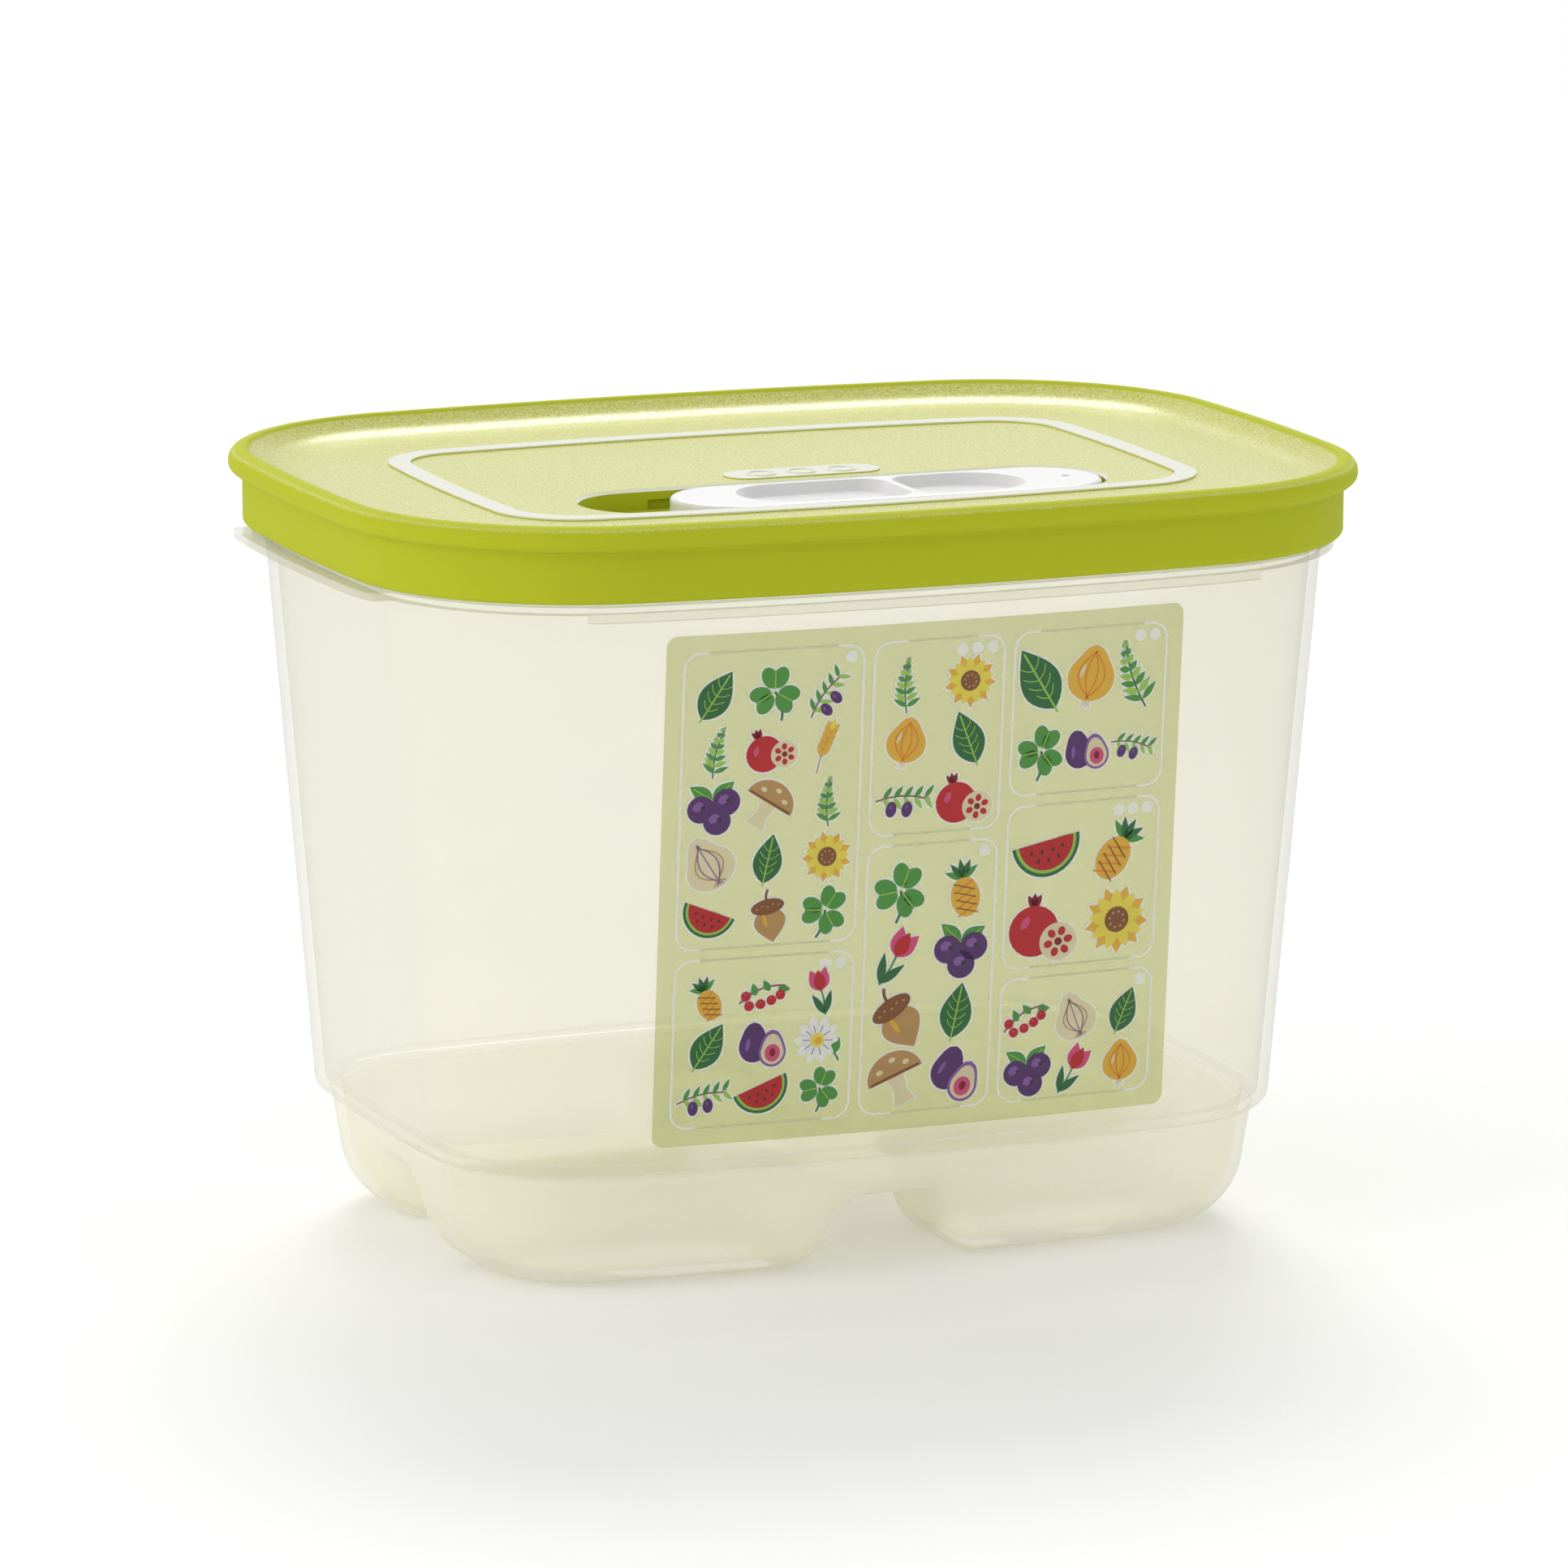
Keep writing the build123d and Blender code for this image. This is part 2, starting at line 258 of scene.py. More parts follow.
def polished_share(tree, sizes, along, across, height):
    """One on the raised ring and marks and on the chamfer round the recess, nothing elsewhere."""
    floor = sizes.dish_floor
    above_floor = (floor + 0.10 * MM, floor + 0.16 * MM)
    chamfer_foot = (floor - 0.56 * MM, floor - 0.50 * MM)
    chamfer_head = (floor - 0.05 * MM, floor)
    raised = ramp(tree, height, *above_floor)
    edge = product(tree, ramp(tree, height, *chamfer_foot), left_over(tree, ramp(tree, height, *chamfer_head)))
    inside_x = maths(tree, "LESS_THAN", maths(tree, "ABSOLUTE", along), sizes.polish_x)
    inside_y = maths(tree, "LESS_THAN", maths(tree, "ABSOLUTE", across), sizes.polish_y)
    return product(tree, maths(tree, "MAXIMUM", raised, edge), inside_x, inside_y)


def grained_share(tree, sizes, height, polished):
    """One on the lid's grained top between recess and crest, nothing elsewhere."""
    floor = sizes.dish_floor
    steepest, flattest = 0.6, 0.75
    above_recess = (floor - 1.0 * MM, floor - 0.3 * MM)
    near_crest = (LID_TOP - 0.9 * MM, LID_TOP - 0.3 * MM)
    normal = place(tree, "ShaderNodeNewGeometry").outputs["Normal"]
    upward = place(tree, "ShaderNodeSeparateXYZ", {"Vector": normal}).outputs["Z"]
    upward = ramp(tree, upward, steepest, flattest)
    above = ramp(tree, height, *above_recess)
    below = left_over(tree, ramp(tree, height, *near_crest))
    return product(tree, upward, above, below, left_over(tree, polished))


def lid_plastic(sizes, colour, painted_polish_highlight):
    """Lime plastic: grained in the dish with a painted sparkle on its speckle, polished on the ring and marks
    with a painted pale highlight, satin on the skirt.
    """
    grain_scale, grain_roughness, grain_strength, grain_height = 2100.0, 0.65, 0.5, 0.06 * MM
    speckle_start, speckle_end = 0.35, 0.62
    patch_scale, patch_depth = 30.0, 0.12
    rough_satin, rough_grained, polish_smoothing = 0.80, 0.25, 0.10
    highlight_paint_cover, glow_share = 0.95, 0.18
    deep = [part * 0.86 for part in colour]
    # Speckle tone: the grain's own flecks, made paler and creamier by a painted sparkle of sheen
    light = (colour[0] * 1.2 + 0.19, colour[1] * 1.1 + 0.15, colour[2] + 0.34)

    material, tree, output = empty_material("lime_lid_plastic")
    point, along, across, height = object_place(tree)
    polished = polished_share(tree, sizes, along, across, height)
    grained = grained_share(tree, sizes, height, polished)
    fine = noise(tree, point, grain_scale, roughness=grain_roughness)
    broad = noise(tree, point, patch_scale)
    # Partly real grain and partly painted sparkle: the flecks on the grained top lean to the pale, creamy tone
    speckle_and_sparkle = tint(tree, ramp(tree, fine, speckle_start, speckle_end), colour, light)
    tone = tint(tree, grained, colour, speckle_and_sparkle)
    tone = tint(tree, product(tree, broad, patch_depth), tone, deep)
    # Painted highlight: the polished ring, marks and recess chamfer take the pale painted tone in place of the
    # lime, standing for their reflection
    tone = tint(tree, product(tree, polished, highlight_paint_cover), tone, painted_polish_highlight)
    relief = bump(tree, product(tree, fine, grained), grain_strength, grain_height)
    rough = between(tree, grained, rough_satin, rough_grained)
    rough = product(tree, rough, between(tree, polished, 1.0, polish_smoothing))

    values = {"Base Color": tone, "Roughness": rough, "Normal": relief, "Coat Weight": polished}
    shader = place(tree, "ShaderNodeBsdfPrincipled", values)
    shader.inputs["IOR"].default_value = 1.5
    shader.inputs["Coat Roughness"].default_value = 0.06
    shader.inputs["Coat IOR"].default_value = 1.8
    glow = place(tree, "ShaderNodeBsdfTranslucent", {"Color": tone})
    tree.links.new(mixed(tree, glow_share, shader, glow).outputs[0], output.inputs["Surface"])
    return material


def moulded_plastic(name, colour, roughness, grain_scale, relief_depth):
    """Plain moulded plastic with a faint grain."""
    fleck, shade, relief_strength = 0.3, 0.92, 0.25
    smoother, rougher = 0.04, 0.06
    scatter, scatter_reach = 0.1, 3 * MM

    material, tree, output = empty_material(name)
    point = object_place(tree)[0]
    fine = noise(tree, point, grain_scale)
    tone = tint(tree, product(tree, fine, fleck), colour, [part * shade for part in colour])
    rough = between(tree, fine, roughness - smoother, roughness + rougher)
    relief = bump(tree, fine, relief_strength, relief_depth)
    values = {"Base Color": tone, "Roughness": rough, "Normal": relief}
    shader = place(tree, "ShaderNodeBsdfPrincipled", values)
    shader.inputs["Subsurface Weight"].default_value = scatter
    shader.inputs["Subsurface Radius"].default_value = (scatter_reach, scatter_reach, scatter_reach)
    tree.links.new(shader.outputs[0], output.inputs["Surface"])
    return material


def ink_material(name, colour):
    """Printing ink with a soft speckle, which lets a little light through."""
    speckle_scale, speckle_roughness, speckle_depth = 1400.0, 0.7, 0.5
    patch_scale, patch_depth = 260.0, 0.35
    relief_strength, relief_depth = 0.2, 0.03 * MM
    gloss_roughness, glow_share = 0.42, 0.3
    darker = [part * 0.72 for part in colour]
    lighter = [min(1.0, part * 1.3 + 0.02) for part in colour]

    material, tree, output = empty_material("ink_" + name)
    point = object_place(tree)[0]
    speckle = noise(tree, point, speckle_scale, roughness=speckle_roughness)
    patch = noise(tree, point, patch_scale)
    tone = tint(tree, product(tree, speckle, speckle_depth), colour, darker)
    tone = tint(tree, product(tree, patch, patch_depth), tone, lighter)
    relief = bump(tree, speckle, relief_strength, relief_depth)
    values = {"Base Color": tone, "Roughness": gloss_roughness, "Normal": relief}
    front = place(tree, "ShaderNodeBsdfPrincipled", values)
    glow = place(tree, "ShaderNodeBsdfTranslucent", {"Color": tone})
    tree.links.new(mixed(tree, glow_share, front, glow).outputs[0], output.inputs["Surface"])
    return material


def dress(node, material):
    """Gives a CAD node its finish."""
    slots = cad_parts[node].data.materials
    slots.clear()
    slots.append(material)


INKS = {
    "leaf_dark": (0.028, 0.165, 0.045),
    "leaf": (0.085, 0.33, 0.055),
    "leaf_light": (0.36, 0.62, 0.10),
    "red": (0.55, 0.018, 0.022),
    "red_dark": (0.25, 0.008, 0.018),
    "orange": (0.80, 0.26, 0.02),
    "gold": (0.80, 0.48, 0.05),
    "yellow": (0.86, 0.72, 0.09),
    "cream": (0.80, 0.72, 0.46),
    "brown": (0.26, 0.10, 0.03),
    "tan": (0.52, 0.31, 0.11),
    "purple": (0.105, 0.035, 0.16),
    "violet": (0.27, 0.12, 0.38),
    "pink": (0.68, 0.09, 0.22),
    "dark": (0.025, 0.04, 0.02),
}


def oval(x, y, across, tall, turn=0.0, count=22):
    """Points of an ellipse."""
    points = []
    cos, sin = math.cos(turn), math.sin(turn)
    for step in range(count):
        angle = math.tau * step / count
        px, py = across * math.cos(angle), tall * math.sin(angle)
        points.append((x + px * cos - py * sin, y + px * sin + py * cos))
    return points


def blade(x, y, reach, half, turn, count=7):
    """Points of a leaf that grows from a point, pointed at both ends."""
    sides = []
    for step in range(count + 1):
        share = step / count
        sides.append((reach * share, half * math.sin(math.pi * share**0.8)))
    outline = sides + [(px, -py) for px, py in reversed(sides[1:-1])]
    cos, sin = math.cos(turn), math.sin(turn)
    return [(x + px * cos - py * sin, y + px * sin + py * cos) for px, py in outline]


def stroke(points, width):
    """Points of a ribbon along a line."""
    left, right = [], []
    for index, (x, y) in enumerate(points):
        before = points[max(index - 1, 0)]
        after = points[min(index + 1, len(points) - 1)]
        dx, dy = after[0] - before[0], after[1] - before[1]
        size = math.hypot(dx, dy) or 1.0
        ox, oy = -dy / size * width / 2, dx / size * width / 2
        left.append((x + ox, y + oy))
        right.append((x - ox, y - oy))
    return left + right[::-1]


def bow(start, end, sag, count=7):
    """Points of a shallow curve between two points."""
    points = []
    dx, dy = end[0] - start[0], end[1] - start[1]
    for step in range(count + 1):
        share = step / count
        lift = sag * math.sin(math.pi * share)
        points.append((start[0] + dx * share - dy * lift, start[1] + dy * share + dx * lift))
    return points


def grow(points, amount):
    """The same outline, moved outwards all round."""
    area = sum(a[0] * b[1] - b[0] * a[1] for a, b in zip(points, points[1:] + points[:1]))
    side = 1 if area > 0 else -1
    grown = []
    count = len(points)
    for index, (x, y) in enumerate(points):
        before, after = points[index - 1], points[(index + 1) % count]
        first = Vector((x - before[0], y - before[1])).normalized()
        second = Vector((after[0] - x, after[1] - y)).normalized()
        outward = Vector((first.y + second.y, -first.x - second.x)) * side
        if outward.length > 1e-6:
            outward.normalize()
        grown.append((x + outward.x * amount, y + outward.y * amount))
    return grown


class Artist:
    """Cuts slips of ink flat, then lays them on the film, one layer on the next."""

    def __init__(self, name, surface, sizes, inks):
        self.name = name
        self.surface = surface
        self.sizes = sizes
        self.inks = inks
        self.slips = []
        self.colours = []
        self.vertices = []
        self.faces = []
        self.face_colours = []

    def lay(self, colour, outline, layer, edged=False):
        """Cuts one closed slip of ink, with a pale edge under it if asked."""
        self.slips.append((colour, outline, layer, edged))

    def fit(self, low, high, turn):
        """Turns the motif just cut, sizes it to fill a box, and prints it there."""
        cos, sin = math.cos(turn), math.sin(turn)
        turned = [[(x * cos - y * sin, x * sin + y * cos) for x, y in slip[1]] for slip in self.slips]
        across = [x for outline in turned for x, _ in outline]
        tall = [y for outline in turned for _, y in outline]
        spread = (max(across) - min(across), max(tall) - min(tall))
        scale = min((high[0] - low[0]) / spread[0], (high[1] - low[1]) / spread[1])
        centre = ((max(across) + min(across)) / 2, (max(tall) + min(tall)) / 2)
        middle = ((low[0] + high[0]) / 2, (low[1] + high[1]) / 2)
        for slip, outline in zip(self.slips, turned):
            placed = [
                (middle[0] + (x - centre[0]) * scale, middle[1] + (y - centre[1]) * scale) for x, y in outline
            ]
            if slip[3]:
                self.stamp("pale", grow(placed, self.sizes.halo), 0)
            self.stamp(slip[0], placed, slip[2])
        self.slips = []

    def settle(self, point, lift):
        """A flat point carried onto the film, lifted off it."""
        start = Vector((point[0], GUIDE_LOW.y - 20 * MM, point[1]))
        hit = self.surface.ray_cast(start, Vector((0, 1, 0)))[0]
        if hit is None:
            raise RuntimeError(f"{self.name}: a motif reaches past the film at {point[0]:.4f}, {point[1]:.4f}")
        return (point[0], hit.y - lift, point[1])

    def stamp(self, colour, outline, layer):
        """Prints one closed slip on the film."""
        if colour not in self.colours:
            self.colours.append(colour)
        flat = [Vector((x, y, 0)) for x, y in outline]
        count = len(outline)
        start = len(self.vertices)
        self.vertices += [self.settle(point, (layer + 1) * self.sizes.ink) for point in outline]
        self.vertices += [self.settle(point, -0.02 * MM) for point in outline]
        area = sum(a.x * b.y - b.x * a.y for a, b in zip(flat, flat[1:] + flat[:1]))
        for a, b, c in tessellate_polygon([flat]):
            corner = (flat[b] - flat[a]).cross(flat[c] - flat[a]).z
            if abs(corner) < 1e-12:
                continue
            face = (a, b, c) if corner > 0 else (a, c, b)
            self.faces.append([start + index for index in face])
            self.faces.append([start + count + index for index in reversed(face)])
        for index in range(count):
            after = (index + 1) % count
            side = [start + index, start + count + index, start + count + after, start + after]
            self.faces.append(side if area > 0 else side[::-1])
        self.face_colours += [self.colours.index(colour)] * (len(self.faces) - len(self.face_colours))

    def finish(self):
        """Makes the object and lets it ride on the tub."""
        mesh = bpy.data.meshes.new(self.name)
        mesh.from_pydata(self.vertices, [], self.faces)
        for colour in self.colours:
            mesh.materials.append(self.inks[colour])
        mesh.polygons.foreach_set("material_index", self.face_colours)
        mesh.update()
        piece = bpy.data.objects.new(self.name, mesh)
        bpy.context.scene.collection.objects.link(piece)
        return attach(piece, "tub")


def draw_melon(art):
    """A wedge of watermelon."""
    for colour, radius, layer in (("leaf_dark", 5.0, 1), ("leaf_light", 4.5, 2), ("red", 4.05, 3)):
        turns = [math.pi * step / 16 for step in range(17)]
        wedge = [(radius * math.cos(turn), 1.6 - radius * math.sin(turn)) for turn in turns]
        art.lay(colour, wedge, layer, edged=layer == 1)
    for x, y in ((-2.3, 0.4), (-0.8, 0.2), (0.8, 0.2), (2.3, 0.4), (-1.5, -0.9), (0.0, -1.1), (1.5, -0.9)):
        art.lay("dark", oval(x, y, 0.18, 0.34, x * 0.2, 8), 4)


def draw_pineapple(art):
    """A pineapple with its crown."""
    for turn in (-1.05, -0.55, 0.55, 1.05, 0.0):
        green = "leaf_dark" if abs(turn) < 0.6 else "leaf"
        art.lay(green, blade(0, 1.7, 3.3, 0.55, math.pi / 2 + turn), 1, edged=True)
    art.lay("gold", oval(0, -1.4, 2.5, 3.3), 2, edged=True)
    for offset in (-2.0, -0.7, 0.6, 1.9):
        low, high = -1.4 + offset - 1.0, -1.4 + offset + 0.6
        art.lay("orange", stroke(bow((-1.7, low), (1.7, high), 0.0), 0.22), 3)
        art.lay("brown", stroke(bow((-1.7, high), (1.7, low), 0.0), 0.16), 4)


def draw_onion(art):
    """A golden onion."""
    outline = []
    for step in range(28):
        angle = math.tau * step / 28
        reach = 3.4 + 1.5 * max(0.0, math.sin(angle)) ** 9
        outline.append((reach * math.cos(angle) * 1.05, reach * math.sin(angle) * 0.95 - 0.4))
    for turn in (-0.5, 0.0, 0.5):
        art.lay("cream", blade(0, -3.2, 1.7, 0.14, -math.pi / 2 + turn), 1, edged=True)
    art.lay("gold", outline, 2, edged=True)
    for side in (-1, 1):
        for share in (0.3, 0.66):
            skin = bow((side * 0.1, 3.4), (side * 0.2, -3.3), -side * share * 0.5)
            art.lay("orange", stroke(skin, 0.16), 3)
    art.lay("cream", oval(-1.5, 0.5, 0.3, 1.0, -0.25, 10), 4)


def draw_berry_sprig(art):
    """Red berries on a twig."""
    art.lay("brown", stroke(bow((-4.2, -3.2), (3.6, 3.6), 0.12), 0.34), 1, edged=True)
    for x, y, turn in ((-1.5, -0.5, 2.2), (1.0, 1.4, 2.5), (2.4, 2.6, 0.2)):
        art.lay("leaf", blade(x, y, 2.8, 0.75, turn), 2, edged=True)
    for x, y in ((-2.0, -3.0), (0.2, -1.8), (2.1, -0.3), (-3.5, -1.3), (3.5, 1.4)):
        art.lay("red", oval(x, y, 1.05, 1.05, 0, 16), 3, edged=True)
        art.lay("pink", oval(x - 0.3, y + 0.35, 0.25, 0.2, 0, 8), 4)


def draw_blueberries(art):
    """Three dark berries with two leaves."""
    for turn in (0.5, 2.4):
        art.lay("leaf", blade(0, 1.0, 3.8, 1.0, turn), 1, edged=True)
        tip = (3.2 * math.cos(turn), 1.0 + 3.2 * math.sin(turn))
        art.lay("leaf_light", stroke(bow((0, 1.0), tip, 0), 0.14), 2)
    for x, y in ((-1.8, 0.1), (1.8, 0.3), (0.1, -2.0)):
        art.lay("purple", oval(x, y, 1.9, 1.85, 0, 20), 3, edged=True)
        art.lay("violet", oval(x - 0.35, y + 0.5, 0.8, 0.6, 0.4, 12), 4)
        art.lay("dark", oval(x + 0.3, y + 0.2, 0.32, 0.28, 0, 8), 5)


def draw_sunflower(art):
    """A yellow flower with a brown heart."""
    for offset, colour, reach, layer in ((0.0, "gold", 3.5, 1), (0.5, "yellow", 3.0, 2)):
        for step in range(9):
            turn = math.tau * (step + offset) / 9
            petal = blade(1.2 * math.cos(turn), 1.2 * math.sin(turn), reach, 0.85, turn)
            art.lay(colour, petal, layer, edged=True)
    art.lay("brown", oval(0, 0, 1.75, 1.75), 3)
    for step in range(8):
        turn = math.tau * step / 8
        art.lay("tan", oval(1.05 * math.cos(turn), 1.05 * math.sin(turn), 0.22, 0.22, 0, 6), 4)


def draw_clover(art):
    """A three-part leaf on its stalk."""
    art.lay("leaf_dark", stroke(bow((0, 0), (1.2, -4.6), 0.12), 0.36), 1, edged=True)
    for step in range(3):
        turn = math.pi / 2 + math.tau * step / 3
        cos, sin = math.cos(turn), math.sin(turn)
        for side in (-1, 1):
            x, y = 2.2 * cos - side * 0.85 * sin, 2.2 * sin + side * 0.85 * cos
            art.lay("leaf", oval(x, y, 1.75, 1.25, turn + side * 0.45, 16), 2, edged=True)
        art.lay("leaf_light", stroke(bow((0.4 * cos, 0.4 * sin), (3.1 * cos, 3.1 * sin), 0.0), 0.2), 3)


def draw_veined_leaf(art):
    """A broad leaf with its veins."""
    art.lay("leaf_dark", blade(0, -4.6, 9.2, 2.7, math.pi / 2, 12), 1, edged=True)
    art.lay("leaf_light", stroke(bow((0, -5.2), (0, 4.0), 0.0), 0.26), 2)
    for y in (-2.9, -1.5, -0.1, 1.3):
        for side in (-1, 1):
            reach = 1.9 - 0.25 * abs(y + 0.6)
            art.lay("leaf_light", stroke(bow((0, y), (side * reach, y + 1.3), side * -0.1, 4), 0.13), 3)


def draw_wheat(art):
    """An ear of wheat."""
    art.lay("tan", stroke(bow((0.6, -5.0), (0, 3.4), 0.03), 0.22), 1, edged=True)
    for step in range(5):
        y = -1.6 + step * 1.15
        for side in (-1, 1):
            art.lay("gold", blade(0, y, 2.2, 0.5, math.pi / 2 - side * 0.62), 2, edged=True)
    art.lay("yellow", blade(0, 3.2, 2.2, 0.5, math.pi / 2), 3, edged=True)


def draw_acorn(art):
    """An acorn in its cup."""
    art.lay("brown", stroke(bow((0, 2.6), (0.5, 4.6), 0.1), 0.4), 1, edged=True)
    art.lay("tan", blade(0, 1.9, 6.0, 2.6, -math.pi / 2, 12), 2, edged=True)
    art.lay("gold", oval(-0.8, -0.2, 0.35, 1.3, 0.1, 10), 3)
    art.lay("brown", oval(0, 1.8, 2.75, 1.25), 4, edged=True)
    for step in range(5):
        art.lay("tan", oval(-1.8 + step * 0.9, 1.8 + 0.25 * (step % 2), 0.2, 0.16, 0, 6), 5)


def draw_tulip(art):
    """A tulip with two leaves."""
    art.lay("leaf", stroke(bow((0, 0.8), (0.2, -4.8), 0.04), 0.34), 1, edged=True)
    for side in (-1, 1):
        art.lay("leaf_dark", blade(0.1, -4.6, 4.8, 0.7, math.pi / 2 - side * 0.42), 2, edged=True)
        art.lay("pink", blade(side * 0.2, 0.2, 4.6, 1.25, math.pi / 2 - side * 0.30), 3, edged=True)
    art.lay("red", blade(0, 0.1, 4.2, 1.2, math.pi / 2), 4)


def draw_olive_branch(art):
    """A branch with narrow leaves and two olives."""
    art.lay("brown", stroke(bow((-4.6, -1.6), (4.4, 1.8), 0.08), 0.26), 1, edged=True)
    for step in range(5):
        share = step / 4
        x, y = -3.4 + 7.0 * share, -1.0 + 2.6 * share + 0.3
        for side in (-1, 1):
            green = "leaf" if side > 0 else "leaf_light"
            art.lay(green, blade(x, y, 2.5, 0.42, 0.35 + side * 0.95), 2, edged=True)
    for x, y in ((-1.4, -2.0), (1.3, -1.1)):
        art.lay("purple", oval(x, y, 0.95, 1.35, 0.2, 16), 3, edged=True)
        art.lay("violet", oval(x - 0.25, y + 0.4, 0.2, 0.4, 0.2, 8), 4)


def draw_fern(art):
    """A fern frond."""
    art.lay("leaf_dark", stroke(bow((0, -5.0), (0.3, 4.8), 0.06), 0.24), 1, edged=True)
    for step in range(8):
        share = step / 7
        x, y = -0.5 * math.sin(math.pi * share), -3.8 + 8.0 * share
        reach = 2.9 * (1 - 0.8 * share)
        green = "leaf_light" if step % 2 else "leaf"
        for side in (-1, 1):
            art.lay(green, blade(x, y, reach, 0.45, math.pi / 2 - side * 1.05), 2, edged=True)


def draw_pomegranate(art):
    """A red fruit with a crown and its cut half."""
    for turn in (-0.5, 0.0, 0.5):
        art.lay("red_dark", blade(-1.2, 2.7, 1.9, 0.42, math.pi / 2 + turn), 1, edged=True)
    art.lay("red", oval(-1.2, -0.2, 3.3, 3.2), 2, edged=True)
    art.lay("pink", oval(-2.4, 0.9, 0.5, 0.9, -0.6, 12), 3)
    art.lay("cream", oval(2.1, -1.7, 2.5, 2.4), 3, edged=True)
    for step in range(6):
        turn = math.tau * step / 6 + 0.2
        x, y = 2.1 + 1.35 * math.cos(turn), -1.7 + 1.35 * math.sin(turn)
        art.lay("red", oval(x, y, 0.58, 0.48, turn, 10), 4)
    art.lay("red_dark", oval(2.1, -1.7, 0.5, 0.5, 0, 10), 5)


def draw_mushroom(art):
    """A brown mushroom."""
    stem = [(-1.4, 0.6), (-1.0, -2.2), (-1.7, -4.2), (1.7, -4.2), (1.0, -2.2), (1.4, 0.6)]
    art.lay("cream", stem, 1, edged=True)
    turns = [math.pi * step / 16 for step in range(17)]
    cap = [(4.4 * math.cos(turn), 0.2 + 3.8 * math.sin(turn)) for turn in turns]
    art.lay("tan", cap, 2, edged=True)
    art.lay("brown", stroke(bow((-4.0, 0.45), (4.0, 0.45), 0.0), 0.4), 3)
    for x, y in ((-2.1, 1.8), (0.3, 2.8), (2.2, 1.7)):
        art.lay("cream", oval(x, y, 0.55, 0.4, 0, 10), 4)


def draw_garlic(art):
    """A bulb of garlic."""
    outline = []
    for step in range(30):
        angle = math.tau * step / 30
        reach = 3.3 + 2.4 * max(0.0, math.sin(angle)) ** 11
        outline.append((reach * math.cos(angle) * 1.1, reach * math.sin(angle) * 0.9 - 0.6))
    art.lay("cream", outline, 1, edged=True)
    art.lay("violet", stroke(bow((0.0, 3.6), (0.0, -3.3), 0.0), 0.14), 2)
    for side in (-1, 1):
        art.lay("violet", stroke(bow((side * 0.2, 3.4), (side * 0.5, -3.3), -side * 0.26), 0.14), 3)
        art.lay("tan", stroke(bow((side * 0.3, 3.2), (side * 1.0, -3.1), -side * 0.44), 0.14), 3)


def draw_fig(art):
    """A purple fig with its cut half."""
    def pear_form(x, y, size):
        points = []
        for step in range(24):
            angle = math.tau * step / 24
            reach = size * (1 + 0.55 * max(0.0, math.sin(angle)) ** 5)
            points.append((x + reach * math.cos(angle) * 0.95, y + reach * math.sin(angle)))
        return points
    art.lay("purple", pear_form(-1.4, 0.2, 2.6), 1, edged=True)
    art.lay("violet", oval(-2.4, 0.6, 0.35, 1.1, -0.2, 10), 2)
    art.lay("violet", pear_form(1.7, -0.9, 2.4), 3, edged=True)
    art.lay("cream", pear_form(1.7, -0.9, 2.0), 4)
    art.lay("pink", oval(1.7, -1.0, 1.3, 1.45, 0, 16), 5)
    art.lay("red_dark", oval(1.7, -0.9, 0.5, 0.7, 0, 10), 6)


def draw_daisy(art):
    """A white flower with a yellow heart and a leaf."""
    art.lay("leaf", stroke(bow((0.2, -0.5), (1.2, -5.2), 0.1), 0.36), 1, edged=True)
    art.lay("leaf", blade(0.9, -3.6, 3.0, 0.8, 0.6), 1, edged=True)
    for step in range(10):
        turn = math.tau * step / 10
        art.lay("pale", blade(0.9 * math.cos(turn), 0.9 * math.sin(turn), 2.9, 0.75, turn), 2, edged=True)
        start, end = ((reach * math.cos(turn), reach * math.sin(turn)) for reach in (1.3, 2.6))
        art.lay("violet", stroke([start, end], 0.12), 3)
    art.lay("yellow", oval(0, 0, 1.15, 1.15, 0, 16), 4)
    art.lay("gold", oval(0.1, -0.15, 0.6, 0.6, 0, 12), 5)


MOTIFS = {
    "melon": draw_melon,
    "pineapple": draw_pineapple,
    "onion": draw_onion,
    "berries": draw_berry_sprig,
    "blueberries": draw_blueberries,
    "sunflower": draw_sunflower,
    "clover": draw_clover,
    "leaf": draw_veined_leaf,
    "wheat": draw_wheat,
    "acorn": draw_acorn,
    "tulip": draw_tulip,
    "olives": draw_olive_branch,
    "fern": draw_fern,
    "pomegranate": draw_pomegranate,
    "mushroom": draw_mushroom,
    "garlic": draw_garlic,
    "fig": draw_fig,
    "daisy": draw_daisy,
}

# Share of the guide's width for each column, and in each column the share of its height, the
# motifs across and the names from the top down
GUIDE_PLAN = (
    (0.375, (
        (0.63, 3, "leaf clover olives fern pomegranate wheat blueberries mushroom fern garlic leaf "
                  "sunflower melon acorn clover"),
        (0.37, 3, "pineapple berries tulip leaf fig daisy olives melon clover"),
    )),
    (0.285, (
        (0.42, 2, "fern sunflower onion leaf olives pomegranate"),
        (0.58, 2, "clover pineapple tulip blueberries acorn leaf mushroom fig"),
    )),
    (0.34, (
        (0.36, 3, "leaf onion fern clover fig olives"),
        (0.36, 2, "melon pineapple pomegranate sunflower"),
        (0.28, 3, "berries garlic leaf blueberries tulip onion"),
    )),
)


def rounded_frame(low, high, radius, count=6):
    """Points of a rectangle with round corners."""
    centres = (
        (high[0] - radius, high[1] - radius, 0.0),
        (low[0] + radius, high[1] - radius, 0.5),
        (low[0] + radius, low[1] + radius, 1.0),
        (high[0] - radius, low[1] + radius, 1.5),
    )
    points = []
    for x, y, start in centres:
        for step in range(count + 1):
            angle = math.pi * (start + 0.5 * step / count)
            points.append((x + radius * math.cos(angle), y + radius * math.sin(angle)))
    return points


